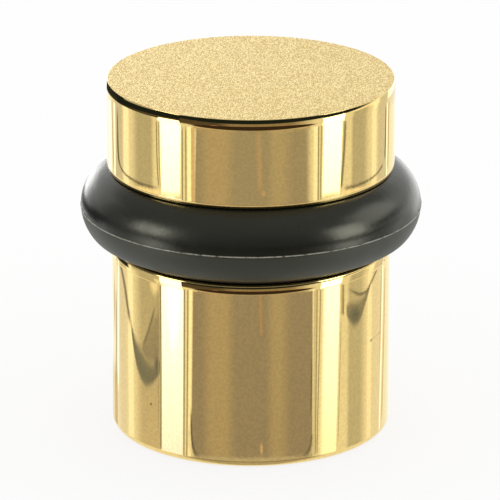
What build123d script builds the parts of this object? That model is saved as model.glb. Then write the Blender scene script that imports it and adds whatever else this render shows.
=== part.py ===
from build123d import *
import os

# Cylindrical floor door stop, in millimetres: +Z up, origin at the middle of the underside.
# A turned base is held to the floor by a screw through its bottom, a turned cap screws into
# the base on a spigot, and a moulded rubber ring is clamped between the two.

# Base
base_diameter = 39.0
base_height = 26.6
base_edge_height = 1.4
base_edge_inset = 0.165
base_edge_round = 0.35
base_foot_round = 0.9
floor_thickness = 6.0

# Cap
cap_diameter = 40.0
cap_thickness = 12.6
cap_upper_edge_height = 1.45
cap_upper_edge_inset = 0.15
cap_lower_edge_height = 0.6
cap_lower_edge_inset = 0.13

# Rubber ring, flattened by the squeeze where cap and base grip it, with flash at its parting line
ring_bore = 24.6
ring_section = 11.4
ring_squeeze = 0.2
neck_clearance = 0.3
flash_height = 0.15
flash_thickness = 0.2

# Screwed joint between cap and base, plain at the thread's mean diameter
spigot_diameter = 19.0
spigot_length = 10.0
spigot_chamfer = 1.0
socket_chamfer = 0.5
thread_clearance = 0.05

# Countersunk hole for the floor screw
screw_hole_diameter = 5.5
screw_head_diameter = 10.5
screw_head_angle = 90.0

# Levels and radii that follow from the sizes above
base_radius = base_diameter / 2
cap_radius = cap_diameter / 2
ring_gap = ring_section - ring_squeeze
ring_level = base_height + ring_gap / 2
ring_radius = (ring_bore + ring_section) / 2
neck_radius = ring_bore / 2 - neck_clearance
cap_underside = base_height + ring_gap
cap_top = cap_underside + cap_thickness
spigot_radius = spigot_diameter / 2
spigot_end = base_height - spigot_length
socket_radius = spigot_radius + thread_clearance

# Turned base: a thick cup whose mouth takes the cap's spigot. Polishing has drawn its wall in a
# little towards the upper edge.
with BuildPart() as base:
    with BuildSketch(Plane.XZ):
        with BuildLine():
            base_outline = Polyline(
                (base_radius - base_edge_inset, base_height),
                (socket_radius, base_height),
                (socket_radius, floor_thickness),
                (0, floor_thickness),
                (0, 0),
                (base_radius, 0),
                (base_radius, base_height - base_edge_height),
            )
            TangentArc(base_outline @ 1, base_outline @ 0, tangent=(0, 1))
        make_face()
    revolve(axis=Axis.Z)
    with Locations((0, 0, floor_thickness)):
        CounterSinkHole(
            radius=screw_hole_diameter / 2,
            counter_sink_radius=screw_head_diameter / 2,
            depth=floor_thickness,
            counter_sink_angle=screw_head_angle,
        )
    chamfer(base.edges().group_by(Axis.Z)[-1].sort_by(SortBy.RADIUS)[0], socket_chamfer)
    fillet(base.edges().group_by(Axis.Z)[-1].sort_by(SortBy.RADIUS)[-1], base_edge_round)
    fillet(base.edges().group_by(Axis.Z)[0].sort_by(SortBy.RADIUS)[-1], base_foot_round)

# Turned cap: a disc, the neck that the ring sits on and the spigot, in one piece. Polishing has
# drawn its wall in towards both edges.
with BuildPart() as cap:
    with BuildSketch(Plane.XZ):
        with BuildLine():
            cap_outline = Polyline(
                (cap_radius - cap_upper_edge_inset, cap_top),
                (0, cap_top),
                (0, spigot_end),
                (spigot_radius, spigot_end),
                (spigot_radius, base_height),
                (neck_radius, base_height),
                (neck_radius, cap_underside),
                (cap_radius - cap_lower_edge_inset, cap_underside),
            )
            cap_wall = Line(
                (cap_radius, cap_underside + cap_lower_edge_height),
                (cap_radius, cap_top - cap_upper_edge_height),
            )
            TangentArc(cap_wall @ 1, cap_outline @ 0, tangent=(0, 1))
            TangentArc(cap_wall @ 0, cap_outline @ 1, tangent=(0, -1))
        make_face()
    revolve(axis=Axis.Z)
    chamfer(cap.edges().group_by(Axis.Z)[0], spigot_chamfer)

# Moulded ring: a round section cut flat above and below, with a thin fin at its widest
with BuildPart() as bumper_ring:
    with BuildSketch(Plane.XZ):
        with Locations((ring_radius, ring_level)):
            Circle(ring_section / 2)
            Rectangle(ring_section, ring_gap, mode=Mode.INTERSECT)
        with Locations((ring_radius + ring_section / 2, ring_level)):
            Rectangle(2 * flash_height, flash_thickness)
    revolve(axis=Axis.Z)

base.part.label = "base"
cap.part.label = "cap"
bumper_ring.part.label = "bumper_ring"

os.makedirs("parts", exist_ok=True)
export_step(base.part, "parts/base.step")
export_step(cap.part, "parts/cap.step")
export_step(bumper_ring.part, "parts/bumper_ring.step")
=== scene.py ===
"""Looks of a turned brass door stop with a rubber ring, laid out as a Blender add-on and run as a script."""

import math
import random
from typing import NamedTuple

import bmesh
import bpy
from bpy.props import FloatProperty, FloatVectorProperty, IntProperty, PointerProperty
from mathutils import Matrix, Vector


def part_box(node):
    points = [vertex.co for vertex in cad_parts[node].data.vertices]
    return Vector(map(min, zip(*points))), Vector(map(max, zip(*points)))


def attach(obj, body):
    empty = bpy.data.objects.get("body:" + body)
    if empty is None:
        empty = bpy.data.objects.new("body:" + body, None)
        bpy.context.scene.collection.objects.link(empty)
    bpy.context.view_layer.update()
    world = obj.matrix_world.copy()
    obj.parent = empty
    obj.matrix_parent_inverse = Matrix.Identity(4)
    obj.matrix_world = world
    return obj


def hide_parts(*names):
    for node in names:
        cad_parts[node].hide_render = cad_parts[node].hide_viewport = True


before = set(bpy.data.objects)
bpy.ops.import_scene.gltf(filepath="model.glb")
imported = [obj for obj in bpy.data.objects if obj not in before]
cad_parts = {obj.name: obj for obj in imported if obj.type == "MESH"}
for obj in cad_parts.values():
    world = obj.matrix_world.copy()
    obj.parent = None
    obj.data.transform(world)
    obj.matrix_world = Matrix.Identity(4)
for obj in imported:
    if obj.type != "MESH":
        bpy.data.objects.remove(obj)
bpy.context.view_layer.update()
BASE_LOW, BASE_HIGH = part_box("base")
CAP_LOW, CAP_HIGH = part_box("cap")
RING_LOW, RING_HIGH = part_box("bumper_ring")

bl_info = {
    "name": "Brass Door Stop",
    "version": (1, 0, 0),
    "blender": (4, 5, 0),
    "location": "3D View > Sidebar > Door Stop",
    "description": "Builds the brass pieces, the rubber ring and the studio of a cylindrical door stop",
    "category": "Object",
}

MILLIMETRE = 0.001
ROOT_BODY = "root"
PICTURE_SIDE = 500
SENSOR_WIDTH = 36.0
CAMERA_REACH = 10.0
SHARP_EDGE_ANGLE = math.radians(30.0)
# Radius below which a point of a half-section counts as lying on the axis
AXIS_RADIUS = 1e-9
# Upward share of a face's normal above which the face counts as level
LEVEL_NORMAL = 0.9999
BUMP_DISTANCE = 0.2 * MILLIMETRE
# Part of the ring's section, measured from its lowest point outwards, that falls away beside its seat
SEAT_RELIEF_ANGLE = math.radians(52.0)
# Waves that tear the flash: how many there are, how often each goes round the ring, and its size
FLASH_WAVES = 14
FLASH_WAVE_COUNTS = (5, 120)
FLASH_WAVE_SIZES = (0.3, 1.0)
# What they leave of the flash: its mean height, its swing, the least of it, and how far its line wanders
MEAN_FLASH = 0.6
FLASH_SWING = 1.1
LEAST_FLASH = 0.15
FLASH_WANDER = 0.35
# Level distance of the camera from the stop's axis, and its height
CAMERA_PLACE = (0.620, 0.241)
# Small marks, each a place in millimetres and a radius, and the two ends of a scratch
WALL_SPOTS = [((16.65, -10.15, 15.3), 0.26), ((-13.83, -13.75, 7.23), 0.22)]
WALL_SCRATCH = ((16.6, -10.2, 15.3), (18.03, -7.43, 15.6))
TOP_PITS = [((6.74, 9.35, 50.4), 0.22), ((4.83, -3.91, 50.4), 0.26)]
RING_DUST = [((5.41, -22.38, 34.54), 0.16), ((0.82, -21.51, 36.52), 0.12), ((-4.43, -22.31, 35.08), 0.12)]


def length(name, description, default):
    """A property for a size in metres."""
    return FloatProperty(name=name, description=description, default=default, unit="LENGTH", precision=5)


def share(name, description, default):
    """A property for a value between nothing and all."""
    return FloatProperty(name=name, description=description, default=default, subtype="FACTOR", min=0.0)


def colour(name, description, default):
    """A property for a linear colour."""
    return FloatVectorProperty(name=name, description=description, default=default, subtype="COLOR", min=0.0)


class DoorStopBrass(bpy.types.PropertyGroup):
    """Sizes and finish of the two turned brass pieces."""

    base_radius: length("Base radius", "Outer radius of the base", BASE_HIGH.x)
    base_height: length("Base height", "Height of the base's top face", BASE_HIGH.z)
    base_edge_height: length("Base edge height", "Height over which the wall is polished in",
                             1.4 * MILLIMETRE)
    base_edge_inset: length("Base edge inset", "How far the upper edge is polished in", 0.165 * MILLIMETRE)
    base_edge_round: length("Base edge round", "Round of the base's upper edge", 0.35 * MILLIMETRE)
    base_foot_round: length("Base foot round", "Round of the base's lower edge", 0.9 * MILLIMETRE)
    floor_thickness: length("Floor thickness", "Thickness of the base's bottom", 6.0 * MILLIMETRE)
    screw_hole_radius: length("Screw hole radius", "Radius of the floor screw's hole", 2.75 * MILLIMETRE)
    screw_head_radius: length("Screw head radius", "Radius of the countersink's mouth", 5.25 * MILLIMETRE)
    socket_radius: length("Socket radius", "Radius of the socket that takes the spigot", 9.55 * MILLIMETRE)
    socket_chamfer: length("Socket chamfer", "Chamfer at the socket's mouth", 0.5 * MILLIMETRE)
    cap_radius: length("Cap radius", "Outer radius of the cap", CAP_HIGH.x)
    cap_top: length("Cap top", "Height of the cap's top face", CAP_HIGH.z)
    cap_underside: length("Cap underside", "Height of the cap's lower face", RING_HIGH.z)
    cap_upper_edge_height: length("Cap upper edge height", "Height over which the wall is polished in",
                                  1.45 * MILLIMETRE)
    cap_upper_edge_inset: length("Cap upper edge inset", "How far the upper edge is polished in",
                                 0.15 * MILLIMETRE)
    cap_lower_edge_height: length("Cap lower edge height", "Height over which the wall is polished in",
                                  0.6 * MILLIMETRE)
    cap_lower_edge_inset: length("Cap lower edge inset", "How far the lower edge is polished in",
                                 0.13 * MILLIMETRE)
    cap_edge_break: length("Cap edge break", "Tiny round where polishing has broken the cap's edges",
                           0.06 * MILLIMETRE)
    neck_radius: length("Neck radius", "Radius of the neck inside the ring", 12.0 * MILLIMETRE)
    spigot_radius: length("Spigot radius", "Radius of the spigot in the base", 9.5 * MILLIMETRE)
    spigot_end: length("Spigot end", "Height of the spigot's lower end", CAP_LOW.z)
    spigot_chamfer: length("Spigot chamfer", "Chamfer of the spigot's lower end", 1.0 * MILLIMETRE)
    turn_segments: IntProperty(name="Turn segments", description="Faces round each turned piece", default=288)
    round_segments: IntProperty(name="Round segments", description="Faces across each rounded edge",
                                default=16)
    holding_gap: length("Holding gap", "Width of the strip beside each rounded edge", 0.06 * MILLIMETRE)
    tone: colour("Brass", "Colour of clean polished brass", (0.86, 0.645, 0.25))
    tarnish: colour("Tarnish", "Colour of brown spots in the brass", (0.16, 0.10, 0.045))
    satin_dark: colour("Satin dark", "Darker grains of the cap's top face", (0.62, 0.40, 0.06))
    satin_light: colour("Satin light", "Lighter grains of the cap's top face", (1.0, 0.79, 0.30))
    polished_roughness: share("Polished roughness", "Roughness of the polished sides", 0.012)
    satin_roughness: share("Satin roughness", "Roughness of the cap's top face", 0.24)
    satin_metal: share("Satin metal", "How much of the cap's top face shines through its haze", 0.75)


class DoorStopRing(bpy.types.PropertyGroup):
    """Sizes and finish of the rubber ring."""

    section_radius: length("Section radius", "Radius of the ring's round section", 5.7 * MILLIMETRE)
    flash_height: length("Flash height", "How far the flash stands out", 0.15 * MILLIMETRE)
    flash_thickness: length("Flash thickness", "Thickness of the flash", 0.2 * MILLIMETRE)
    seat_relief: length("Seat relief", "How far the section falls away beside its seat on the base",
                        0.42 * MILLIMETRE)
    turn_segments: IntProperty(name="Turn segments", description="Faces round the ring", default=480)
    section_segments: IntProperty(name="Section segments", description="Faces round the section", default=120)
    seed: IntProperty(name="Seed", description="Seed of the flash's ragged edge", default=7)
    tone: colour("Rubber", "Colour of the rubber", (0.0065, 0.0078, 0.0055))
    # Painted shade: the rubber is coloured darker where it sits on the base, in place of the shadow in that
    # crease.
    seat_shade_tone: colour("Seat", "Colour of the rubber where it meets the base", (0.005, 0.005, 0.004))
    # Painted light: the rubber below the parting line is coloured lighter where it faces the bright floor;
    # its higher roughness is the lower half's matter finish.
    lit_lower_half_tone: colour("Lower half", "Colour of the rubber below the parting line", (0.026, 0.030, 0.023))
    # Partly painted highlight: the flash's pale colour stands for light catching the thin fin, as well as for
    # worn, greyish rubber.
    flash_wear_and_glint_tone: colour("Flash", "Colour of the rubber's torn flash", (0.30, 0.29, 0.24))
    dust_tone: colour("Dust", "Colour of dust on the rubber", (0.30, 0.29, 0.26))
    gloss_tone: colour("Gloss", "Tint of the rubber's gloss", (1.0, 1.0, 0.80))
    roughness: share("Roughness", "Roughness of the moulded rubber", 0.24)
    under_roughness: share("Lower roughness", "Roughness of the rubber below the parting line", 0.44)


class DoorStopStage(bpy.types.PropertyGroup):
    """Camera, floor and light."""

    camera_distance: length("Camera distance", "Level distance from the stop's axis", CAMERA_PLACE[0])
    camera_height: length("Camera height", "Height of the camera above the floor", CAMERA_PLACE[1])
    camera_offset: length("Camera offset", "Sideways offset of the camera", -0.00012)
    camera_pitch: FloatProperty(name="Camera pitch", description="Downward tilt", default=0.3352,
                                subtype="ANGLE")
    lens_pixels: FloatProperty(name="Lens", description="Focal length in picture pixels", default=4690.0)
    floor_radius: length("Floor radius", "Radius of the round floor", 1.6)
    floor_tone: colour("Floor", "Colour of the floor", (0.95, 0.95, 0.95))
    floor_glow: share("Floor glow", "White added to the floor as the camera sees it", 0.8)
    ambient: share("Ambient", "Level of the soft light all round", 1.0)


def foot_round(radius, rounding, segments, holding_gap):
    """Half-section of a rounded lower edge, with a thin strip at each end of the round."""
    points = [Vector((radius - rounding - holding_gap, 0.0))]
    for step in range(segments + 1):
        angle = math.pi / 2 * step / segments
        points.append(Vector((radius - rounding * (1 - math.sin(angle)), rounding * (1 - math.cos(angle)))))
    points.append(Vector((radius, rounding + holding_gap)))
    return points


def polished_edge(radius, edge, rise, inset, rounding, segments, holding_gap):
    """Half-section of a wall that curves in towards a rounded edge, from the wall to the flat face."""
    height = abs(rise)
    side = math.copysign(1.0, rise)
    wall = edge - rise
    bend = (height ** 2 + inset ** 2) / (2 * inset)
    bend_axis = radius - bend
    round_height = height - rounding
    round_reach = math.sqrt((bend - rounding) ** 2 - round_height ** 2)
    turn = math.atan2(round_height, round_reach)
    points = [Vector((radius, wall - side * holding_gap))]
    for step in range(segments + 1):
        angle = turn * step / segments
        points.append(Vector((bend_axis + bend * math.cos(angle), wall + side * bend * math.sin(angle))))
    for step in range(1, segments + 1):
        angle = turn + (math.pi / 2 - turn) * step / segments
        points.append(Vector((bend_axis + round_reach + rounding * math.cos(angle),
                              wall + side * (round_height + rounding * math.sin(angle)))))
    points.append(Vector((bend_axis + round_reach - holding_gap, edge)))
    return points


def lathe(name, profile, segments, closed):
    """Mesh turned from a half-section; a closed one is a ring, an open one starts and ends on the axis."""
    mesh = bpy.data.meshes.new(name)
    shape = bmesh.new()
    rings = []
    for point in profile:
        if point.x < AXIS_RADIUS:
            rings.append([shape.verts.new((0.0, 0.0, point.y))])
            continue
        ring = []
        for step in range(segments):
            angle = math.tau * step / segments
            ring.append(shape.verts.new((point.x * math.cos(angle), point.x * math.sin(angle), point.y)))
        rings.append(ring)
    pairs = list(zip(rings, rings[1:]))
    if closed:
        pairs.append((rings[-1], rings[0]))
    for lower, upper in pairs:
        for step in range(segments):
            after = (step + 1) % segments
            if len(lower) == 1:
                shape.faces.new((lower[0], upper[after], upper[step]))
            elif len(upper) == 1:
                shape.faces.new((lower[step], lower[after], upper[0]))
            else:
                shape.faces.new((lower[step], lower[after], upper[after], upper[step]))
    bmesh.ops.recalc_face_normals(shape, faces=shape.faces)
    for face in shape.faces:
        face.smooth = True
    for edge in shape.edges:
        edge.smooth = edge.calc_face_angle(0.0) < SHARP_EDGE_ANGLE
    shape.to_mesh(mesh)
    shape.free()
    return mesh


def add_piece(name, mesh, node, materials):
    """Links a finished piece that stands for a CAD node and rides on the one body."""
    piece = bpy.data.objects.new(name, mesh)
    bpy.context.scene.collection.objects.link(piece)
    for material in materials:
        mesh.materials.append(material)
    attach(piece, ROOT_BODY)
    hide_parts(node)
    return piece


class Nodes:
    """Short ways to add and join the nodes of one tree."""

    def __init__(self, tree):
        self.tree = tree

    def add(self, kind, **settings):
        node = self.tree.nodes.new(kind)
        for key, value in settings.items():
            setattr(node, key, value)
        return node

    def link(self, source, target):
        self.tree.links.new(source, target)

    def math(self, operation, first, second=None, clamp=False):
        node = self.add("ShaderNodeMath", operation=operation, use_clamp=clamp)
        for socket, value in zip(node.inputs, (first, second)):
            self.feed(socket, value)
        return node.outputs[0]

    def vector(self, operation, first, second):
        node = self.add("ShaderNodeVectorMath", operation=operation)
        self.link(first, node.inputs[0])
        self.link(second, node.inputs[1])
        return node.outputs["Value" if operation in ("DOT_PRODUCT", "DISTANCE") else "Vector"]

    def feed(self, socket, value):
        """Joins an output to a socket, or sets a plain number on it."""
        if value is None:
            return
        if isinstance(value, bpy.types.NodeSocket):
            self.link(value, socket)
        else:
            socket.default_value = value

    def mix_colour(self, factor, first, second):
        node = self.add("ShaderNodeMix", data_type="RGBA")
        self.feed(node.inputs["Factor"], factor)
        self.feed(node.inputs[6], first)
        self.feed(node.inputs[7], second)
        return node.outputs[2]

    def range(self, value, low, high, to_low=0.0, to_high=1.0):
        node = self.add("ShaderNodeMapRange", interpolation_type="SMOOTHSTEP")
        for socket, item in zip(node.inputs, (value, low, high, to_low, to_high)):
            self.feed(socket, item)
        return node.outputs[0]

    def group(self, name, **values):
        node = self.add("ShaderNodeGroup", node_tree=bpy.data.node_groups[name])
        for key, value in values.items():
            self.feed(node.inputs[key.replace("_", " ").title()], value)
        return node.outputs[0]

    def bump(self, height, strength, distance, normal=None):
        node = self.add("ShaderNodeBump")
        node.inputs["Strength"].default_value = strength
        node.inputs["Distance"].default_value = distance
        self.feed(node.inputs["Height"], height)
        self.feed(node.inputs["Normal"], normal)
        return node.outputs[0]


def new_group(name, inputs, output):
    """An empty shader node group with named inputs, one output and a place to read object coordinates."""
    tree = bpy.data.node_groups.new(name, "ShaderNodeTree")
    for label, kind, default in inputs:
        socket = tree.interface.new_socket(label, in_out="INPUT", socket_type=kind)
        socket.default_value = default
    tree.interface.new_socket(output, in_out="OUTPUT", socket_type="NodeSocketFloat")
    nodes = Nodes(tree)
    start = nodes.add("NodeGroupInput")
    end = nodes.add("NodeGroupOutput")
    place = nodes.add("ShaderNodeTexCoord").outputs["Object"]
    return nodes, start.outputs, end.inputs[0], place


def make_grain_group():
    """Fine unevenness of a finished surface, as a height."""
    nodes, inputs, result, place = new_group(
        "Surface Grain",
        [("Scale", "NodeSocketFloat", 3000.0), ("Detail", "NodeSocketFloat", 2.0),
         ("Stretch", "NodeSocketVector", (1.0, 1.0, 1.0))],
        "Height",
    )
    noise = nodes.add("ShaderNodeTexNoise")
    nodes.link(nodes.vector("MULTIPLY", place, inputs["Stretch"]), noise.inputs["Vector"])
    nodes.link(inputs["Scale"], noise.inputs["Scale"])
    nodes.link(inputs["Detail"], noise.inputs["Detail"])
    nodes.link(noise.outputs["Fac"], result)


def make_smudge_group():
    """Broad cloudy patches left by handling, from none to full."""
    nodes, inputs, result, place = new_group(
        "Handling Smudges",
        [("Scale", "NodeSocketFloat", 120.0), ("Start", "NodeSocketFloat", 0.45),
         ("Full", "NodeSocketFloat", 0.7)],
        "Mask",
    )
    noise = nodes.add("ShaderNodeTexNoise")
    noise.inputs["Detail"].default_value = 4.0
    noise.inputs["Distortion"].default_value = 0.6
    nodes.link(place, noise.inputs["Vector"])
    nodes.link(inputs["Scale"], noise.inputs["Scale"])
    nodes.link(nodes.range(noise.outputs["Fac"], inputs["Start"], inputs["Full"]), result)


def make_speck_group():
    """Scattered small specks, a few of the cells of a fine pattern."""
    nodes, inputs, result, place = new_group(
        "Scattered Specks",
        [("Scale", "NodeSocketFloat", 300.0), ("Size", "NodeSocketFloat", 0.1),
         ("Share", "NodeSocketFloat", 0.1)],
        "Mask",
    )
    cells = nodes.add("ShaderNodeTexVoronoi")
    nodes.link(place, cells.inputs["Vector"])
    nodes.link(inputs["Scale"], cells.inputs["Scale"])
    near = nodes.math("LESS_THAN", cells.outputs["Distance"], inputs["Size"])
    split = nodes.add("ShaderNodeSeparateColor")
    nodes.link(cells.outputs["Color"], split.inputs[0])
    chosen = nodes.math("LESS_THAN", split.outputs[0], inputs["Share"])
    nodes.link(nodes.math("MULTIPLY", near, chosen), result)


def make_spot_group():
    """One soft round spot at a place on the surface."""
    nodes, inputs, result, place = new_group(
        "Single Spot",
        [("Centre", "NodeSocketVector", (0.0, 0.0, 0.0)), ("Radius", "NodeSocketFloat", 0.0003)],
        "Mask",
    )
    away = nodes.vector("DISTANCE", place, inputs["Centre"])
    nodes.link(nodes.range(nodes.math("DIVIDE", away, inputs["Radius"]), 1.0, 0.4), result)


def make_scratch_group():
    """One thin straight scratch between two places on the surface."""
    nodes, inputs, result, place = new_group(
        "Single Scratch",
        [("Start", "NodeSocketVector", (0.0, 0.0, 0.0)), ("End", "NodeSocketVector", (0.0, 0.0, 0.001)),
         ("Width", "NodeSocketFloat", 0.0001)],
        "Mask",
    )
    run = nodes.vector("SUBTRACT", inputs["End"], inputs["Start"])
    offset = nodes.vector("SUBTRACT", place, inputs["Start"])
    along = nodes.math("DIVIDE", nodes.vector("DOT_PRODUCT", offset, run),
                       nodes.vector("DOT_PRODUCT", run, run), clamp=True)
    nearest = nodes.add("ShaderNodeVectorMath", operation="SCALE")
    nodes.link(run, nearest.inputs[0])
    nodes.link(along, nearest.inputs["Scale"])
    away = nodes.vector("DISTANCE", offset, nearest.outputs[0])
    nodes.link(nodes.range(nodes.math("DIVIDE", away, inputs["Width"]), 1.0, 0.4), result)


def new_material(name):
    """A material with its nodes and its Principled shader."""
    material = bpy.data.materials.new(name)
    material.use_nodes = True
    nodes = Nodes(material.node_tree)
    shader = material.node_tree.nodes["Principled BSDF"]
    return material, nodes, shader


def solid(tone):
    """A colour property as four numbers."""
    return (*tone, 1.0)


def in_metres(place):
    """A place given in millimetres."""
    return [value * MILLIMETRE for value in place]


def add_marks(nodes, marks, mask):
    """Adds single spots, given as a place in millimetres and a radius, to a mask."""
    for place, radius in marks:
        spot = nodes.group("Single Spot", centre=in_metres(place), radius=radius * MILLIMETRE)
        mask = nodes.math("MAXIMUM", mask, spot)
    return mask


def polished_brass(brass):
    """Mirror-polished turned brass, with faint smudges, a few brown specks and a scratch."""
    material, nodes, shader = new_material("polished_brass")
    shader.inputs["Metallic"].default_value = 1.0
    smudges = nodes.group("Handling Smudges", scale=140.0, start=0.5, full=0.8)
    start, end = (in_metres(place) for place in WALL_SCRATCH)
    scratch = nodes.group("Single Scratch", width=0.10 * MILLIMETRE, start=start, end=end)
    stain = add_marks(nodes, WALL_SPOTS, nodes.math("MULTIPLY", scratch, 0.7))
    sand = nodes.range(nodes.group("Surface Grain", scale=2600.0, detail=2.0), 0.3, 0.7)
    dark, light = ([value * level for value in brass.tone] for level in (0.92, 1.05))
    tone = nodes.mix_colour(sand, solid(dark), solid(light))
    nodes.link(nodes.mix_colour(stain, tone, solid(brass.tarnish)), shader.inputs["Base Color"])
    haze = nodes.math("MULTIPLY_ADD", smudges, 0.012)
    haze.node.inputs[2].default_value = brass.polished_roughness
    nodes.link(haze, shader.inputs["Roughness"])
    grain = nodes.group("Surface Grain", scale=900.0, detail=3.0)
    nodes.link(nodes.bump(grain, 0.0012, BUMP_DISTANCE), shader.inputs["Normal"])
    return material


def satin_brass(brass):
    """Flat top of the cap: brass with a fine sandy grain and two pits."""
    material, nodes, shader = new_material("satin_brass")
    shader.inputs["Metallic"].default_value = brass.satin_metal
    smudges = nodes.group("Handling Smudges", scale=90.0, start=0.45, full=0.75)
    grain = nodes.group("Surface Grain", scale=6200.0, detail=2.0, stretch=(1.0, 0.36, 1.0))
    sand = nodes.range(grain, 0.40, 0.60)
    tone = nodes.mix_colour(sand, solid(brass.satin_dark), solid(brass.satin_light))
    pits = add_marks(nodes, TOP_PITS, nodes.group("Scattered Specks", scale=300.0, size=0.06, share=0.02))
    nodes.link(nodes.mix_colour(pits, tone, solid(brass.tarnish)), shader.inputs["Base Color"])
    haze = nodes.math("MULTIPLY_ADD", smudges, 0.05)
    haze.node.inputs[2].default_value = brass.satin_roughness
    nodes.link(haze, shader.inputs["Roughness"])
    nodes.link(nodes.bump(grain, 0.12, BUMP_DISTANCE), shader.inputs["Normal"])
    return material


def moulded_rubber(ring):
    """Black moulded rubber, dusty in places, with a pale torn parting line that is partly worn rubber and
    partly a painted highlight; painted light makes its lower half lighter where it faces the floor, and
    painted shade darkens it where it sits on the base.
    """
    material, nodes, shader = new_material("moulded_rubber")
    shader.inputs["Specular Tint"].default_value = solid(ring.gloss_tone)
    place = nodes.add("ShaderNodeSeparateXYZ")
    nodes.link(nodes.add("ShaderNodeTexCoord").outputs["Object"], place.inputs[0])
    level = (RING_LOW.z + RING_HIGH.z) / 2
    away = nodes.math("ABSOLUTE", nodes.math("SUBTRACT", place.outputs["Z"], level))
    squares = [nodes.math("MULTIPLY", place.outputs[axis], place.outputs[axis]) for axis in "XY"]
    reach = nodes.math("SQRT", nodes.math("ADD", *squares))
    outer = nodes.math("GREATER_THAN", reach, RING_HIGH.x - 0.6 * MILLIMETRE)
    line = nodes.math("MULTIPLY", nodes.range(away, 0.13 * MILLIMETRE, 0.04 * MILLIMETRE), outer)
    torn = nodes.range(nodes.group("Surface Grain", scale=1300.0, detail=4.0), 0.28, 0.52)
    line = nodes.math("MULTIPLY", line, torn)
    dust = add_marks(nodes, RING_DUST, nodes.group("Scattered Specks", scale=650.0, size=0.08, share=0.02))
    smudges = nodes.group("Handling Smudges", scale=110.0, start=0.4, full=0.75)
    # Painted light: the lower half is coloured lighter, as light from the floor below would make it look, and
    # it is also rougher.
    under = nodes.range(place.outputs["Z"], level + 0.1 * MILLIMETRE, level - 0.4 * MILLIMETRE)
    tone = nodes.mix_colour(under, solid(ring.tone), solid(ring.lit_lower_half_tone))
    # Painted shade: darker towards the ring's seat on the base, where the crease lies in shadow.
    seat = nodes.range(place.outputs["Z"], RING_LOW.z + 1.5 * MILLIMETRE, RING_LOW.z + 0.5 * MILLIMETRE)
    tone = nodes.mix_colour(seat, tone, solid(ring.seat_shade_tone))
    tone = nodes.mix_colour(dust, tone, solid(ring.dust_tone))
    # The pale flash is partly worn rubber and partly a painted highlight of the fin catching the light.
    nodes.link(nodes.mix_colour(line, tone, solid(ring.flash_wear_and_glint_tone)), shader.inputs["Base Color"])
    haze = nodes.math("MULTIPLY_ADD", smudges, 0.1)
    nodes.feed(haze.node.inputs[2], nodes.range(under, 0.0, 1.0, ring.roughness, ring.under_roughness))
    nodes.link(haze, shader.inputs["Roughness"])
    grain = nodes.group("Surface Grain", scale=1400.0, detail=3.0)
    nodes.link(nodes.bump(grain, 0.08, BUMP_DISTANCE), shader.inputs["Normal"])
    return material


class DOORSTOP_OT_base(bpy.types.Operator):
    """Turn the brass base with its socket and countersunk floor screw hole"""

    bl_idname = "doorstop.base"
    bl_label = "Build Base"

    def execute(self, context):
        brass = context.scene.door_stop_brass
        head_depth = brass.screw_head_radius - brass.screw_hole_radius
        profile = [Vector((brass.screw_hole_radius, 0.0))]
        profile += foot_round(brass.base_radius, brass.base_foot_round, brass.round_segments,
                              brass.holding_gap)
        profile += polished_edge(brass.base_radius, brass.base_height, brass.base_edge_height,
                                 brass.base_edge_inset, brass.base_edge_round, brass.round_segments,
                                 brass.holding_gap)
        profile += [
            Vector((brass.socket_radius + brass.socket_chamfer, brass.base_height)),
            Vector((brass.socket_radius, brass.base_height - brass.socket_chamfer)),
            Vector((brass.socket_radius, brass.floor_thickness)),
            Vector((brass.screw_head_radius, brass.floor_thickness)),
            Vector((brass.screw_hole_radius, brass.floor_thickness - head_depth)),
        ]
        mesh = lathe("brass_base", profile, brass.turn_segments, closed=True)
        add_piece("brass_base", mesh, "base", [bpy.data.materials["polished_brass"]])
        return {"FINISHED"}


class DOORSTOP_OT_cap(bpy.types.Operator):
    """Turn the brass cap with its neck and spigot"""

    bl_idname = "doorstop.cap"
    bl_label = "Build Cap"

    def execute(self, context):
        brass = context.scene.door_stop_brass
        profile = [
            Vector((0.0, brass.spigot_end)),
            Vector((brass.spigot_radius - brass.spigot_chamfer, brass.spigot_end)),
            Vector((brass.spigot_radius, brass.spigot_end + brass.spigot_chamfer)),
            Vector((brass.spigot_radius, brass.base_height)),
            Vector((brass.neck_radius, brass.base_height)),
            Vector((brass.neck_radius, brass.cap_underside)),
        ]
        lower = polished_edge(brass.cap_radius, brass.cap_underside, -brass.cap_lower_edge_height,
                              brass.cap_lower_edge_inset, brass.cap_edge_break, brass.round_segments,
                              brass.holding_gap)
        profile += reversed(lower)
        profile += polished_edge(brass.cap_radius, brass.cap_top, brass.cap_upper_edge_height,
                                 brass.cap_upper_edge_inset, brass.cap_edge_break, brass.round_segments,
                                 brass.holding_gap)
        profile.append(Vector((0.0, brass.cap_top)))
        mesh = lathe("brass_cap", profile, brass.turn_segments, closed=False)
        finishes = [bpy.data.materials["polished_brass"], bpy.data.materials["satin_brass"]]
        add_piece("brass_cap", mesh, "cap", finishes)
        for face in mesh.polygons:
            if face.normal.z > LEVEL_NORMAL and face.center.z > brass.cap_top - brass.holding_gap:
                face.material_index = 1
        return {"FINISHED"}


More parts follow.
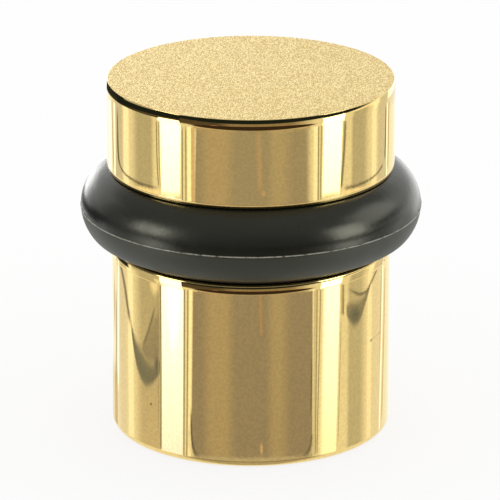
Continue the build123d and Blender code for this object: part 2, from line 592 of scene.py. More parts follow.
class DOORSTOP_OT_ring(bpy.types.Operator):
    """Mould the rubber ring with its flats and its ragged flash"""

    bl_idname = "doorstop.ring"
    bl_label = "Build Rubber Ring"

    def execute(self, context):
        ring = context.scene.door_stop_ring
        level = (RING_LOW.z + RING_HIGH.z) / 2
        half_gap = (RING_HIGH.z - RING_LOW.z) / 2
        outer_radius = RING_HIGH.x - ring.flash_height
        centre = outer_radius - ring.section_radius
        profile = []
        for step in range(ring.section_segments):
            angle = math.tau * (step + 0.5) / ring.section_segments - math.pi
            beside_seat = max(0.0, min(1.0, (angle + math.pi / 2) / SEAT_RELIEF_ANGLE))
            radius = ring.section_radius - ring.seat_relief * math.sin(math.pi * beside_seat) ** 2
            height = max(-half_gap, min(half_gap, radius * math.sin(angle)))
            profile.append(Vector((centre + radius * math.cos(angle), level + height)))
        outer = ring.section_segments // 2
        half_flash = ring.flash_thickness / 2
        tip_radius = outer_radius + ring.flash_height
        root = [Vector((outer_radius, level + side * half_flash)) for side in (-1, 1)]
        tip = [Vector((tip_radius, level + side * half_flash / 2)) for side in (-1, 1)]
        profile[outer:outer] = [root[0], tip[0], tip[1], root[1]]
        mesh = lathe("rubber_ring", profile, ring.turn_segments, closed=True)
        self.tear_flash(mesh, ring, outer_radius)
        add_piece("rubber_ring", mesh, "bumper_ring", [bpy.data.materials["moulded_rubber"]])
        return {"FINISHED"}

    @staticmethod
    def tear_flash(mesh, ring, outer_radius):
        """Makes the flash uneven, as it is where the mould's halves met."""
        draw = random.Random(ring.seed)
        waves = []
        for _ in range(FLASH_WAVES):
            count = draw.randint(*FLASH_WAVE_COUNTS)
            phase = draw.uniform(0.0, math.tau)
            waves.append((count, phase, draw.uniform(*FLASH_WAVE_SIZES)))
        for vertex in mesh.vertices:
            radius = math.hypot(vertex.co.x, vertex.co.y)
            if radius < outer_radius + ring.flash_height / 2:
                continue
            angle = math.atan2(vertex.co.y, vertex.co.x)
            wave = sum(size * math.sin(count * angle + phase) for count, phase, size in waves) / len(waves)
            keep = max(LEAST_FLASH, min(1.0, MEAN_FLASH + FLASH_SWING * wave))
            scale = (outer_radius + ring.flash_height * keep) / radius
            vertex.co.x *= scale
            vertex.co.y *= scale
            vertex.co.z += FLASH_WANDER * ring.flash_thickness * wave


class DOORSTOP_OT_finishes(bpy.types.Operator):
    """Make the brass and rubber finishes and the effects that they share"""

    bl_idname = "doorstop.finishes"
    bl_label = "Make Finishes"

    def execute(self, context):
        make_grain_group()
        make_smudge_group()
        make_speck_group()
        make_spot_group()
        make_scratch_group()
        polished_brass(context.scene.door_stop_brass)
        satin_brass(context.scene.door_stop_brass)
        moulded_rubber(context.scene.door_stop_ring)
        return {"FINISHED"}


# The polished brass mirrors sheets of light and shade that hang round the stop on a wide drum. Only
# gloss sees them; the soft even light comes from the world.
DRUM_RADIUS = 1.5
CEILING_TONES = (0.60, 0.45)
# How much nearer each sheet hangs than the one before it
SHEET_SPACING = 0.00005
# Fineness of the sheets' grids: degrees between a card's columns with the least and most of them, a card's
# rows, an oval's cells each way, cells between the points of a curve, and cells across a streak and a web
CARD_STEP = 0.25
CARD_COLUMNS = (16, 240)
CARD_ROWS = 40
PATCH_CELLS = 32
CURVE_CELLS = 12
STREAK_COLUMNS = 8
WEB_ROWS = 24
APRON_GRID = (60, 16)
# Radius of the wall that mirrors them, and how far round the drum, in degrees, the mirrored line moves
# for each millimetre along the wall
WALL_RADIUS = 0.0198
DEGREES_PER_MILLIMETRE = 5.9


def mirrored(millimetres, azimuth=90.0):
    """Height on the drum that the camera sees mirrored at a height on the stop's wall."""
    height = millimetres * MILLIMETRE
    distance, camera_height = CAMERA_PLACE
    reach = WALL_RADIUS * math.cos(math.radians(azimuth / 2))
    return height - (DRUM_RADIUS - reach) * (camera_height - height) / (distance - reach)


def fade_between(value, low, high, low_fade, high_fade):
    """How solid a sheet is at a value: full inside, falling smoothly to nothing at both ends."""
    solid_share = 1.0
    for room, fade in ((value - low, low_fade), (high - value, high_fade)):
        if fade > 0:
            part = max(0.0, min(1.0, room / fade))
            solid_share *= part * part * (3 - 2 * part)
    return solid_share


def curve_point(path, share_along):
    """Place and direction on a smooth curve through the points of a path."""
    place = share_along * (len(path) - 1)
    index = min(int(place), len(path) - 2)
    part = place - index
    ends = [Vector(path[max(0, min(len(path) - 1, index + step))]) for step in (-1, 0, 1, 2)]
    leave, arrive = (ends[2] - ends[0]) / 2, (ends[3] - ends[1]) / 2
    span = ends[2] - ends[1]
    square = 3 * span - 2 * leave - arrive
    cube = leave + arrive - 2 * span
    point = ends[1] + leave * part + square * part ** 2 + cube * part ** 3
    return point, leave + 2 * square * part + 3 * cube * part ** 2


class Card(NamedTuple):
    """A sheet of light or shade; its sides may lean towards its top and its ends may climb to the right."""

    name: str
    azimuths: tuple
    heights: tuple
    tones: tuple
    side_fade: tuple = (0.6, 0.6)
    end_fade: tuple = (0.001, 0.001)
    lean: tuple = (0.0, 0.0)
    climb: tuple = (0.0, 0.0)
    distance: float = DRUM_RADIUS

    def grid(self):
        fewest, most = CARD_COLUMNS
        columns = math.ceil((self.azimuths[1] - self.azimuths[0]) / CARD_STEP)
        return min(most, max(fewest, columns)), CARD_ROWS

    def point(self, across, up):
        left, right = (limit + lean * up for limit, lean in zip(self.azimuths, self.lean))
        low, high = (limit + climb * across for limit, climb in zip(self.heights, self.climb))
        azimuth = left + (right - left) * across
        height = low + (high - low) * up
        tone = [a + (b - a) * up for a, b in zip(*self.tones)]
        solid_share = fade_between(azimuth, left, right, *self.side_fade)
        solid_share *= fade_between(height, low, high, *self.end_fade)
        return azimuth, self.distance, height, tone, solid_share


class Patch(NamedTuple):
    """A soft oval of light or shade."""

    name: str
    centre: tuple
    half_size: tuple
    tone: tuple
    softness: float = 0.6

    def grid(self):
        return PATCH_CELLS, PATCH_CELLS

    def point(self, across, up):
        x, y = 2 * across - 1, 2 * up - 1
        azimuth, height = (middle + offset * half
                           for middle, offset, half in zip(self.centre, (x, y), self.half_size))
        solid_share = fade_between(math.hypot(x, y), -1.0, 1.0, 0.0, self.softness)
        return azimuth, DRUM_RADIUS, height, self.tone, solid_share


class Streak(NamedTuple):
    """A soft line through places where the wall mirrors it, each an azimuth and a height in millimetres."""

    name: str
    path: tuple
    half_width: float
    tone: tuple
    end_fade: float = 0.15

    def grid(self):
        return STREAK_COLUMNS, CURVE_CELLS * (len(self.path) - 1)

    def point(self, across, up):
        place, along = curve_point(self.path, up)
        level_step = along.x / DEGREES_PER_MILLIMETRE
        offset = (2 * across - 1) * self.half_width / math.hypot(level_step, along.y)
        azimuth = place.x + offset * along.y * DEGREES_PER_MILLIMETRE
        height = mirrored(place.y - offset * level_step, azimuth)
        solid_share = fade_between(across, 0.0, 1.0, 0.5, 0.5)
        solid_share *= fade_between(up, 0.0, 1.0, self.end_fade, self.end_fade)
        return azimuth, DRUM_RADIUS, height, self.tone, solid_share


class Web(NamedTuple):
    """A sheet between a lower and an upper curve, each through places where the wall mirrors it."""

    name: str
    lower: tuple
    upper: tuple
    tones: tuple
    side_fade: tuple = (0.1, 0.1)
    end_fade: tuple = (0.2, 0.2)

    def grid(self):
        return CURVE_CELLS * (len(self.lower) - 1), WEB_ROWS

    def point(self, across, up):
        low, high = (curve_point(path, across)[0] for path in (self.lower, self.upper))
        place = low.lerp(high, up)
        tone = [a + (b - a) * up for a, b in zip(*self.tones)]
        solid_share = fade_between(across, 0.0, 1.0, *self.side_fade)
        solid_share *= fade_between(up, 0.0, 1.0, *self.end_fade)
        return place.x, DRUM_RADIUS, mirrored(place.y, place.x), tone, solid_share


class Apron(NamedTuple):
    """A level sheet below the floor, mirrored only where the stop faces steeply down."""

    name: str
    azimuths: tuple
    radii: tuple
    height: float
    tone: tuple
    side_fade: float
    end_fade: float

    def grid(self):
        return APRON_GRID

    def point(self, across, up):
        azimuth = self.azimuths[0] + (self.azimuths[1] - self.azimuths[0]) * across
        radius = self.radii[0] + (self.radii[1] - self.radii[0]) * up
        solid_share = fade_between(azimuth, *self.azimuths, self.side_fade, self.side_fade)
        solid_share *= fade_between(radius, *self.radii, self.end_fade, self.end_fade)
        return azimuth, radius, self.height, self.tone, solid_share


def grey(level, second=None):
    """A neutral tone of one level, or a pair of them."""
    tone = (level, level, level)
    return tone if second is None else (tone, (second, second, second))


def plain(tone):
    """A card's two tones where both are the same."""
    return (tone, tone)


DARK = (0.014, 0.020, 0.024)
BROWN = (0.045, 0.028, 0.024)
# Heights on the drum: the walls of base and cap mirror what is below the crest, and their polished
# edges what is above it
FOOT, GAP, CREST = mirrored(-1.0), mirrored(32.0), mirrored(50.0)
BROW = -0.150
BASE_ZONE, CAP_ZONE, CAP_AND_BROW, SIDES = (FOOT, GAP), (GAP, CREST), (GAP, BROW), (FOOT, BROW)

# Each sheet hangs in front of those before it. Angles are in degrees from the front, to the right, and
# heights in metres, but the places of a streak or a web are an angle and the height in millimetres at
# which the wall mirrors it.
SHEETS = [
    # Far left and far right: the bright back of the studio and the lines of its frame
    Card("left_back", (-180, -144), SIDES, ((1.10, 1.10, 1.05), (1.15, 1.25, 1.25)), (0, 3)),
    Card("right_back", (142.5, 180), (FOOT, CREST), ((1.05, 1.08, 0.98), (1.10, 1.15, 1.05)), (2, 0)),
    Card("left_back_low", (-180, -150), (FOOT, mirrored(14.0)), plain((0.95, 0.88, 0.66)), (0, 5),
         (0.0, 0.02)),
    Card("left_gold_low", (-160, -146), (FOOT, mirrored(12.5)), plain((0.74, 0.64, 0.46)), (5, 3),
         (0.0, 0.012)),
    Card("left_cap_back", (-160, -146), CAP_ZONE, plain((1.25, 1.40, 1.7)), (4, 2)),
    Patch("left_brown_blur", (-155.5, mirrored(20.5)), (4.0, 0.022), (0.72, 0.58, 0.46), 0.9),
    Streak("left_base_dark", ((-148.6, 22.0), (-149.8, 15.0), (-151.6, 6.5)), 0.34, (0.20, 0.24, 0.22), 0.3),
    Streak("left_base_light", ((-141.0, 26.5), (-142.8, 18.0), (-145.2, 6.0)), 0.36, grey(2.4), 0.2),
    Streak("right_base_light", ((141.0, 26.5), (138.8, 14.0), (135.3, 0.0)), 0.34, grey(2.0), 0.1),
    Streak("right_base_orange", ((147.0, 25.0), (144.6, 14.0), (141.0, 2.0)), 0.30, (0.70, 0.48, 0.30), 0.1),
    Streak("right_base_inner", ((137.2, 26.4), (135.8, 18.0), (134.0, 9.0)), 0.24, (0.66, 0.46, 0.36), 0.3),
    Streak("left_cap_orange", ((-146.0, 49.5), (-144.4, 44.0), (-141.8, 39.0)), 0.32, (0.70, 0.50, 0.34)),
    Streak("right_cap_orange", ((143.8, 49.5), (142.6, 44.0), (141.4, 39.0)), 0.28, (0.55, 0.40, 0.24)),
    Card("left_cap_light", (-141.5, -137.5), CAP_ZONE, grey(1.5, 2.0), (1.2, 0.8)),
    Card("right_cap_light", (137.0, 140.8), CAP_ZONE, grey(1.5, 1.7), (0.8, 1.2)),
    # Sides: gold, a bright stripe and a broad shade
    Card("left_wall", (-142, -78), (-0.25, 0.20), grey(0.62, 0.62), (8, 2), (0.02, 0.05)),
    Card("left_wall_end", (-180, -146), (-0.30, 0.26), grey(4.6, 4.2), (0, 8), (0.02, 0.06)),
    Card("right_wall", (82, 146), (-0.13, 0.20), ((1.25, 1.20, 1.15), grey(1.4)), (3, 6), (0.03, 0.06),
         climb=(-0.25, -0.04)),
    Card("left_upper_room", (-130, -84), (0.16, 0.95), grey(0.20, 0.25), (20, 4), (0.03, 0.05)),
    Card("right_upper_room", (84, 130), (0.16, 0.95), grey(0.20, 0.25), (4, 20), (0.03, 0.05)),
    Card("right_wall_end", (136, 180), (-0.36, 0.16), grey(2.0, 1.7), (6, 0), (0.03, 0.06)),
    Card("left_cap_gold", (-138, -120), CAP_AND_BROW, grey(0.76, 0.74), (1, 7)),
    Card("left_base_gold", (-141, -124), BASE_ZONE, grey(0.94, 0.90), (3, 6)),
    Card("left_stripe", (-124.5, -112.5), SIDES, ((1.30, 1.30, 1.32), (1.45, 1.45, 1.55)), (3.5, 3.5),
         lean=(2, 1)),
    Card("left_cap_shade", (-112, -82), CAP_AND_BROW, grey(0.58, 0.60), (12, 5)),
    Card("left_base_shade", (-114, -80), BASE_ZONE, ((0.72, 0.67, 0.64), grey(0.56)), (14, 1)),
    Card("right_cap_gold", (119, 138), CAP_AND_BROW, grey(0.80, 0.80), (5, 1)),
    Card("right_base_gold", (119, 136), BASE_ZONE, grey(0.96, 0.97), (4, 3)),
    Card("right_stripe", (110.5, 120.5), SIDES, ((1.22, 1.20, 1.18), (1.45, 1.45, 1.55)), (3.5, 3.5)),
    Card("right_cap_shade", (85.5, 110), CAP_AND_BROW, grey(0.60, 0.62), (4, 10)),
    Card("right_base_shade", (85, 112), BASE_ZONE, grey(0.63, 0.66), (5, 11)),
    # What the sides of the base mirror near its top: two dark folds and their curved edges
    Web("left_fold_side", ((-102.0, 15.0), (-95.0, 13.2), (-88.0, 12.4), (-80.2, 13.4)),
        ((-102.0, 15.8), (-95.0, 17.9), (-89.5, 20.2), (-80.2, 22.6)),
        ((0.36, 0.35, 0.40), (0.44, 0.42, 0.42)), (0.1, 0.08), (0.3, 0.2)),
    Web("left_fold", ((-119.0, 18.3), (-114.5, 14.6), (-109.5, 11.6), (-104.0, 10.0), (-97.5, 9.3),
                      (-89.0, 10.2), (-80.2, 12.3)),
        ((-117.0, 18.9), (-113.0, 17.3), (-107.0, 16.5), (-101.0, 16.0), (-95.0, 14.9),
         (-88.0, 14.1), (-80.2, 15.0)),
        ((0.22, 0.25, 0.30), (0.29, 0.30, 0.34)), (0.12, 0.03), (0.22, 0.42)),
    Patch("left_fold_corner", (-84.0, mirrored(13.6)), (4.5, 0.0080), (0.22, 0.23, 0.30), 0.9),
    Patch("left_fold_light", (-86.0, mirrored(25.6)), (7.5, 0.0090), (1.20, 1.15, 1.10), 0.8),
    Streak("left_fold_edge", ((-142.0, 27.2), (-135.0, 25.3), (-128.0, 23.0), (-122.5, 20.0),
                              (-117.0, 17.2)), 0.66, (0.24, 0.22, 0.25), 0.22),
    Streak("left_fold_crease", ((-101.0, 15.4), (-95.0, 17.6), (-90.0, 19.7), (-85.0, 22.4)), 0.34,
           (0.26, 0.27, 0.29), 0.25),
    Web("right_fold", ((84.5, 20.9), (89.0, 19.2), (95.0, 18.1), (102.0, 18.7), (109.0, 21.0), (118.0, 24.0)),
        ((84.5, 22.4), (89.0, 23.2), (95.0, 23.0), (102.0, 23.0), (109.0, 23.2), (118.0, 24.3)),
        ((0.26, 0.28, 0.31), (0.42, 0.41, 0.42)), (0.12, 0.12), (0.32, 0.3)),
    Patch("right_fold_dark", (95.5, mirrored(20.6)), (10.5, 0.0068), (0.18, 0.21, 0.26), 0.95),
    Streak("right_fold_edge", ((86.0, 24.7), (95.0, 23.7), (103.0, 23.1), (111.0, 23.2), (119.0, 24.3),
                               (127.0, 25.4), (135.0, 26.1), (142.0, 26.5)), 0.38, (0.20, 0.20, 0.22)),
    Card("right_smudge", (79.6, 83.0), (mirrored(20.6), mirrored(26.4)),
         ((0.55, 0.50, 0.46), (0.62, 0.56, 0.50)), (0.4, 0.5), (0.002, 0.003)),
    Streak("right_smudge_line", ((82.2, 25.8), (82.4, 23.4), (82.0, 20.8)), 0.12, grey(0.34), 0.1),
    # A bright strip below what the cap mirrors, and frame lines that curve round its bottom corners
    Card("left_cap_foot", (-180, -76), (mirrored(33.0), mirrored(39.2)), plain((1.25, 1.15, 1.05)), (0, 2),
         (0.001, 0.0012)),
    Card("right_cap_foot", (76, 180), (mirrored(33.0), mirrored(39.2)), plain((1.25, 1.15, 1.05)), (2, 0),
         (0.001, 0.0012)),
    Streak("left_cap_frame", ((-132.8, 49.0), (-132.5, 44.6), (-131.4, 41.7), (-127.8, 40.5), (-120.0, 39.8),
                              (-108.0, 39.5), (-94.0, 39.4), (-78.0, 39.6)), 0.32, grey(0.12), 0.08),
    Streak("left_cap_frame_corner", ((-132.7, 46.0), (-132.4, 43.2), (-131.2, 41.5), (-128.4, 40.7)), 0.36,
           grey(0.10), 0.3),
    Streak("right_cap_frame", ((136.4, 49.2), (135.8, 45.0), (134.6, 41.0)), 0.32, grey(0.14), 0.15),
    Streak("right_cap_frame_low", ((131.5, 40.7), (121.0, 39.9), (108.0, 39.5), (95.0, 39.4),
                                   (78.0, 39.5)), 0.30, grey(0.14), 0.1),
    Streak("right_cap_line", ((80.2, 49.4), (79.4, 46.0), (78.2, 43.0), (76.2, 39.4)), 0.36, grey(0.24), 0.1),
    # Lamps with the lines beside them
    Card("left_lamp_base", (-79.6, -58.2), BASE_ZONE, ((1.4, 1.4, 2.1), (2.4, 2.6, 3.9)), (0.8, 0.6),
         lean=(1.2, 1.8)),
    Patch("left_lamp_core", (-66.5, mirrored(27.0)), (9, 0.050), (3.0, 3.4, 5.0), 0.8),
    Card("left_lamp_cap", (-76.2, -57.4), (mirrored(38.4), CREST), grey(3.0, 4.0), (1.2, 1.2), (0.003, 0.001),
         (-0.8, 0.9)),
    Card("right_lamp_base", (57.2, 75.2), BASE_ZONE, ((1.45, 1.55, 1.6), (2.3, 2.4, 3.3)), (5, 0.8),
         lean=(3.8, 4.1)),
    Card("right_lamp_cap", (57.6, 75.4), (mirrored(38.4), CREST), grey(3.0, 4.0), (1.6, 1.0), (0.003, 0.001),
         (1.4, 2.6)),
    Card("right_lamp_head", (57.8, 78.6), (CREST, -0.060), grey(4.0, 4.0), (0.8, 0.6)),
    Streak("right_outer_line", ((79.6, 20.6), (78.8, 14.0), (77.0, 2.0)), 0.10, grey(0.45), 0.1),
    Streak("left_outer_line", ((-79.7, 26.5), (-79.5, 14.0), (-80.2, 1.0)), 0.20, grey(0.22), 0.05),
    Streak("left_outer_second", ((-82.6, 26.0), (-82.4, 14.0), (-82.8, 3.0)), 0.12, grey(0.45), 0.2),
    Streak("left_cap_outer_line", ((-80.2, 49.5), (-79.8, 44.0), (-78.2, 39.6)), 0.18, grey(0.30), 0.1),
    Streak("left_cap_inner_line", ((-78.0, 49.5), (-77.6, 44.0), (-76.4, 39.6)), 0.14, grey(0.45), 0.1),
    # Front: a grey sheet with two sheens, and bright strips and fine lines at its sides
    Card("front_sheet", (-50.8, 52.4), BASE_ZONE, ((0.365, 0.335, 0.365), (0.38, 0.355, 0.375)),
         lean=(3.0, -0.6)),
    Card("front_sheet_cap", (-46.6, 50.8), CAP_ZONE, ((0.41, 0.385, 0.405), (0.42, 0.40, 0.41)), (1.5, 7),
         lean=(2.4, -1)),
    Card("front_left_sheen", (-43, -11), (FOOT, CREST), ((0.50, 0.445, 0.40), (0.54, 0.475, 0.44)), (12, 11)),
    Card("front_right_sheen", (11, 35), (FOOT, CREST), ((0.485, 0.43, 0.39), (0.52, 0.48, 0.45)), (9, 12)),
    Streak("front_cap_warm", ((6.0, 49.5), (6.5, 45.0), (7.5, 40.0)), 0.55, (0.54, 0.457, 0.415), 0.2),
    Streak("front_base_warm", ((7.6, 26.5), (8.0, 23.0), (8.4, 19.6)), 0.30, (0.53, 0.385, 0.34)),
    Patch("front_cap_spot", (10.0, mirrored(39.5)), (2.0, 0.0017), (0.62, 0.50, 0.44)),
    Patch("front_base_spot", (8.7, mirrored(2.3)), (1.5, 0.0034), (0.74, 0.58, 0.51)),
    Card("left_strip_base", (-53.4, -51.0), BASE_ZONE, grey(1.25, 1.5), (0.4, 0.5), lean=(2.2, 2.6)),
    Card("left_strip_cap", (-51.6, -47.0), CAP_ZONE, grey(1.4, 1.5), (0.6, 1.8)),
    Card("left_strip_gold", (-48.4, -44.6), CAP_ZONE, ((0.80, 0.66, 0.56), (0.84, 0.70, 0.58)), (0.8, 0.8)),
    Streak("left_line_first", ((-57.2, 0.8), (-56.8, 8.0), (-55.9, 26.5), (-55.7, 49.5)), 0.14,
           grey(0.20), 0.02),
    Streak("left_line_second", ((-54.6, 0.8), (-54.0, 8.0), (-52.8, 26.5), (-52.6, 49.5)), 0.14,
           grey(0.26), 0.02),
    Streak("left_corner_light", ((-52.4, 6.5), (-51.6, 3.4), (-50.0, 2.0), (-46.8, 1.25), (-41.0, 0.9)),
           0.36, grey(1.0)),
    Streak("left_corner", ((-50.4, 9.0), (-50.1, 4.8), (-48.4, 2.8), (-45.4, 1.9), (-40.5, 1.4)), 0.24,
           grey(0.14)),
    Card("right_strip_base", (52.4, 54.8), BASE_ZONE, grey(0.82, 0.76), (0.5, 0.5), lean=(0.6, 0.8)),
    Card("right_strip_cap", (49.6, 54.2), CAP_ZONE, grey(1.3, 1.4), (2.6, 0.6)),
    Streak("right_line_first", ((54.9, 1.5), (55.2, 10.0), (55.8, 26.5), (54.8, 38.0), (54.9, 49.5)), 0.15,
           grey(0.32), 0.02),
    Streak("right_line_second", ((56.4, 1.5), (57.2, 10.0), (58.9, 26.5), (57.0, 38.0), (57.4, 49.5)), 0.14,
           grey(0.34), 0.02),
    Streak("right_side_line", ((51.2, 17.0), (50.9, 12.0), (50.4, 7.0)), 0.18, grey(0.22), 0.3),
    Streak("right_corner_light", ((53.6, 6.0), (52.8, 3.4), (51.0, 2.0), (47.5, 1.25), (42.0, 0.9)), 0.36,
           grey(0.75)),
    Streak("right_corner", ((51.8, 5.0), (50.4, 3.2), (47.0, 2.1), (42.5, 1.5), (37.0, 1.25)), 0.26,
           grey(0.18)),
    Card("front_foot_light", (-50, 52), (FOOT, mirrored(1.15)), plain((0.58, 0.56, 0.58)), (4, 4),
         (0.0, 0.0008)),
    # Above the walls' view, for the polished edges: the front's rim, a dark lens, and the room with the
    # head of the left lamp
    Card("front_rim", (-47, 49), (mirrored(48.2), -0.30), ((0.60, 0.53, 0.45), (0.95, 0.85, 0.70)), (2, 2),
         (0.004, 0.05)),
    Card("front_gap", (-50, 56), (-0.30, -0.030), ((0.40, 0.31, 0.23), (0.30, 0.25, 0.19)), (1, 26),
         (0.06, 0.004)),
    Card("front_gap_left", (-58, -12), (-0.30, -0.030), ((0.13, 0.10, 0.08), (0.09, 0.075, 0.06)), (0.6, 16),
         (0.04, 0.004)),
    Patch("front_lens", (2, -0.300), (53, 0.125), BROWN, 0.12),
    Patch("front_lens_spot", (-28, -0.205), (5, 0.022), (0.85, 0.48, 0.30), 0.8),
    Patch("front_lens_line", (1, -0.235), (9, 0.014), (0.36, 0.18, 0.11), 0.8),
    Card("front_upper_room", (-58, 59), (0.20, 0.98), grey(0.22, 0.30), (0.6, 0.6), (0.04, 0.05)),
    Card("front_room", (-58, 59), (-0.045, 0.26), plain(DARK), (0.6, 0.6), (0.012, 0.05)),
    Card("left_lamp_head", (-78.6, -57.2), (CREST, 0.060), grey(3.6, 3.6), (0.8, 0.6), (0.001, 0.02)),
    Card("left_far_room", (-169, -115), (-0.412, -0.240), ((0.035, 0.034, 0.032), DARK), (3, 5), (0.02, 0.03),
         climb=(0.0704, 0.1996)),
    Card("right_room", (58, 128), (-0.070, 0.12), plain(DARK), (0.6, 40), (0.01, 0.04), climb=(-0.06, 0.0)),
    Card("upper_room", (-180, 180), (0.9, 1.5), grey(0.30, 0.45), (0, 0), (0.1, 0)),
    # Softer lights higher up, which show only in the ring
    Card("left_high_lamp", (-85, -56), (0.17, 1.25), grey(7.0, 4.6), (3, 5), (0.03, 0.50)),
    Card("right_high_lamp", (56, 84), (0.16, 1.25), grey(6.4, 4.6), (5, 3), (0.03, 0.50)),
    Card("right_high_wall", (80, 130), (0.40, 1.5), grey(2.2, 2.2), (12, 12), (0.1, 0.0)),
    # Below the front, for the rounded foot
    Card("front_table", (-47, 50), (-0.86, FOOT), ((0.36, 0.30, 0.25), (0.32, 0.27, 0.24)), (3, 3),
         (0.08, 0.001)),
    Card("front_table_near", (-60, 62), (-0.093, -0.0525), ((0.42, 0.37, 0.33), (0.34, 0.28, 0.24)), (16, 16),
         (0.004, 0.0005), distance=0.147),
    Apron("front_apron", (-75, 75), (0.0, 0.26), -0.12, (0.50, 0.48, 0.46), 40, 0.02),
    # Shade close to the stop on the left, at a height where only the cap's upper edge mirrors it
    Card("left_room", (-126.0, -71.2), (0.0182, 0.0333), plain(DARK), (7, 0.6), (0.0012, 0.0025),
         climb=(0.0076, 0.0182), distance=0.1200),
    Card("left_lamp_room", (-72.9, -52.1), (0.0322, 0.0550), plain(DARK), (0.6, 0.6), (0.001, 0.004),
         distance=0.1195),
    Card("left_lamp_hood", (-121.5, -52.1), (0.0172, 0.0245), ((0.15, 0.12, 0.10), (0.06, 0.052, 0.046)),
         (46, 0.6), (0.0015, 0.0015), climb=(0.0162, 0.0148), distance=0.1190),
    # A low card that brightens the left of the base's upper edge
    Card("left_low_card", (-166, -100), (0.0210, 0.0290), plain((0.75, 0.70, 0.65)), (8, 40),
         (0.0005, 0.0005), climb=(0.0, 0.002), distance=0.034),
]


def sheet_material():
    """Light whose tone and solidity come from the sheet's own points."""
    material = bpy.data.materials.new("sheet_light")
    material.use_nodes = True
    nodes = Nodes(material.node_tree)
    material.node_tree.nodes.clear()
    glow = nodes.add("ShaderNodeEmission")
    nodes.link(nodes.add("ShaderNodeAttribute", attribute_name="tone").outputs["Color"], glow.inputs["Color"])
    both = nodes.add("ShaderNodeMixShader")
    nodes.link(nodes.add("ShaderNodeAttribute", attribute_name="solid").outputs["Fac"], both.inputs[0])
    nodes.link(nodes.add("ShaderNodeBsdfTransparent").outputs[0], both.inputs[1])
    nodes.link(glow.outputs[0], both.inputs[2])
    nodes.link(both.outputs[0], nodes.add("ShaderNodeOutputMaterial").inputs["Surface"])
    return material


def add_sheet(name, mesh, tones, solids, material):
    """Hands a sheet to the stage with its tones, hidden from everything but gloss."""
    mesh.attributes.new("tone", "FLOAT_COLOR", "POINT").data.foreach_set("color", tones)
    mesh.attributes.new("solid", "FLOAT", "POINT").data.foreach_set("value", solids)
    mesh.materials.append(material)
    sheet = bpy.data.objects.new(name, mesh)
    bpy.context.scene.collection.objects.link(sheet)
    sheet.visible_camera = False
    sheet.visible_diffuse = False
    sheet.visible_transmission = False
    sheet.visible_volume_scatter = False
    sheet.visible_shadow = False


def add_mirrored_sheet(sheet, order, material):
    """Builds one sheet round the stop as a fine grid, without the faces that are wholly clear."""
    columns, rows = sheet.grid()
    nearer = 1 - SHEET_SPACING * order / DRUM_RADIUS
    places, faces, tones, solids = [], [], [], []
    for row in range(rows + 1):
        for column in range(columns + 1):
            azimuth, distance, height, tone, solid_share = sheet.point(column / columns, row / rows)
            angle = math.radians(azimuth)
            places.append((nearer * distance * math.sin(angle), -nearer * distance * math.cos(angle), height))
            tones.extend(solid(tone))
            solids.append(solid_share)
    for row in range(rows):
        for column in range(columns):
            first = row * (columns + 1) + column
            face = (first, first + 1, first + columns + 2, first + columns + 1)
            if any(solids[corner] > 0 for corner in face):
                faces.append(face)
    mesh = bpy.data.meshes.new(sheet.name)
    mesh.from_pydata(places, [], faces)
    add_sheet(sheet.name, mesh, tones, solids, material)


def add_ceiling(height, material):
    """Dim ceiling, a little lighter in its middle."""
    mesh = bpy.data.meshes.new("ceiling")
    shape = bmesh.new()
    bmesh.ops.create_circle(shape, cap_ends=True, cap_tris=True, segments=64, radius=DRUM_RADIUS)
    bmesh.ops.translate(shape, verts=shape.verts, vec=(0.0, 0.0, height))
    shape.to_mesh(mesh)
    shape.free()
    middle_tone, edge_tone = CEILING_TONES
    tones = []
    for vertex in mesh.vertices:
        middle = math.hypot(vertex.co.x, vertex.co.y) < DRUM_RADIUS / 2
        tones.extend(solid(grey(middle_tone if middle else edge_tone)))
    add_sheet("ceiling", mesh, tones, [1.0] * len(mesh.vertices), material)


def make_floor(stage):
    """Round white floor that keeps the stop's shadow."""
    mesh = bpy.data.meshes.new("floor")
    shape = bmesh.new()
    bmesh.ops.create_circle(shape, cap_ends=True, segments=96, radius=stage.floor_radius)
    shape.to_mesh(mesh)
    shape.free()
    floor = bpy.data.objects.new("floor", mesh)
    bpy.context.scene.collection.objects.link(floor)
    floor.visible_glossy = False
    material = bpy.data.materials.new("floor")
    material.use_nodes = True
    nodes = Nodes(material.node_tree)
    material.node_tree.nodes.clear()
    matt = nodes.add("ShaderNodeBsdfDiffuse")
    matt.inputs["Color"].default_value = solid([value * (1 - stage.floor_glow) for value in stage.floor_tone])
    glow = nodes.add("ShaderNodeEmission")
    glow.inputs["Strength"].default_value = stage.floor_glow
    both = nodes.add("ShaderNodeAddShader")
    nodes.link(matt.outputs[0], both.inputs[0])
    nodes.link(glow.outputs[0], both.inputs[1])
    bare = nodes.add("ShaderNodeBsdfDiffuse")
    bare.inputs["Color"].default_value = solid(stage.floor_tone)
    pick = nodes.add("ShaderNodeMixShader")
    nodes.link(nodes.add("ShaderNodeLightPath").outputs["Is Camera Ray"], pick.inputs[0])
    nodes.link(bare.outputs[0], pick.inputs[1])
    nodes.link(both.outputs[0], pick.inputs[2])
    nodes.link(pick.outputs[0], nodes.add("ShaderNodeOutputMaterial").inputs["Surface"])
    mesh.materials.append(material)


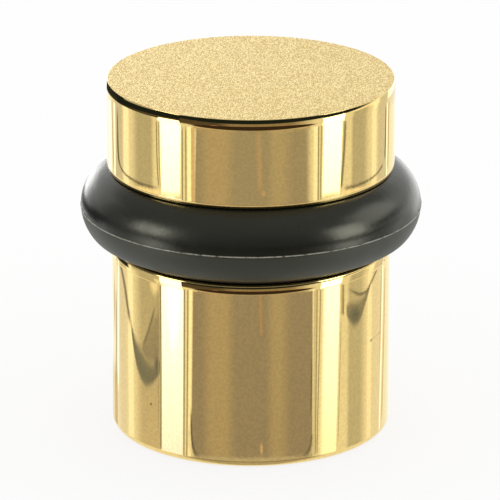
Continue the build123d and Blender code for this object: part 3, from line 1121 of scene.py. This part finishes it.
def make_world(stage):
    """White surroundings for the camera and for gloss, and a soft even light for the rest."""
    world = bpy.data.worlds.new("studio")
    bpy.context.scene.world = world
    world.use_nodes = True
    nodes = Nodes(world.node_tree)
    world.node_tree.nodes.clear()
    path = nodes.add("ShaderNodeLightPath")
    seen = nodes.math("MAXIMUM", path.outputs["Is Camera Ray"], path.outputs["Is Glossy Ray"])
    seen = nodes.math("MAXIMUM", seen, path.outputs["Is Transmission Ray"])
    white = nodes.add("ShaderNodeBackground")
    white.inputs["Color"].default_value = solid((1.0, 1.0, 1.0))
    soft = nodes.add("ShaderNodeBackground")
    soft.inputs["Color"].default_value = solid((1.0, 1.0, 1.0))
    soft.inputs["Strength"].default_value = stage.ambient
    pick = nodes.add("ShaderNodeMixShader")
    nodes.link(seen, pick.inputs[0])
    nodes.link(soft.outputs[0], pick.inputs[1])
    nodes.link(white.outputs[0], pick.inputs[2])
    nodes.link(pick.outputs[0], nodes.add("ShaderNodeOutputWorld").inputs["Surface"])


def make_camera(stage):
    """Camera at the photograph's height, tilt and distance."""
    data = bpy.data.cameras.new("camera")
    data.sensor_width = SENSOR_WIDTH
    data.lens = stage.lens_pixels / PICTURE_SIDE * SENSOR_WIDTH
    data.clip_end = CAMERA_REACH
    camera = bpy.data.objects.new("camera", data)
    bpy.context.scene.collection.objects.link(camera)
    tilt = Matrix.Rotation(math.pi / 2 - stage.camera_pitch, 4, "X")
    place = Matrix.Translation((stage.camera_offset, -stage.camera_distance, stage.camera_height))
    camera.matrix_world = place @ tilt
    bpy.context.scene.camera = camera


class DOORSTOP_OT_stage(bpy.types.Operator):
    """Set up the floor, the light and the camera"""

    bl_idname = "doorstop.stage"
    bl_label = "Set Up Stage"

    def execute(self, context):
        stage = context.scene.door_stop_stage
        context.scene.view_settings.view_transform = "Standard"
        make_floor(stage)
        make_world(stage)
        light = sheet_material()
        for order, sheet in enumerate(SHEETS):
            add_mirrored_sheet(sheet, order, light)
        add_ceiling(DRUM_RADIUS, light)
        make_camera(stage)
        return {"FINISHED"}


class DOORSTOP_PT_panel(bpy.types.Panel):
    """Lists the steps that build the door stop"""

    bl_idname = "DOORSTOP_PT_panel"
    bl_label = "Door Stop"
    bl_space_type = "VIEW_3D"
    bl_region_type = "UI"
    bl_category = "Door Stop"

    def draw(self, context):
        for step in STEPS:
            self.layout.operator(step.bl_idname)


STEPS = [DOORSTOP_OT_finishes, DOORSTOP_OT_base, DOORSTOP_OT_cap, DOORSTOP_OT_ring, DOORSTOP_OT_stage]
CLASSES = [DoorStopBrass, DoorStopRing, DoorStopStage, *STEPS, DOORSTOP_PT_panel]
SETTINGS = {
    "door_stop_brass": DoorStopBrass,
    "door_stop_ring": DoorStopRing,
    "door_stop_stage": DoorStopStage,
}


def register():
    for item in CLASSES:
        bpy.utils.register_class(item)
    for name, group in SETTINGS.items():
        setattr(bpy.types.Scene, name, PointerProperty(type=group))


def unregister():
    for name in SETTINGS:
        delattr(bpy.types.Scene, name)
    for item in reversed(CLASSES):
        bpy.utils.unregister_class(item)


def main():
    register()
    bpy.ops.doorstop.finishes()
    bpy.ops.doorstop.base()
    bpy.ops.doorstop.cap()
    bpy.ops.doorstop.ring()
    bpy.ops.doorstop.stage()


if __name__ == "__main__":
    main()
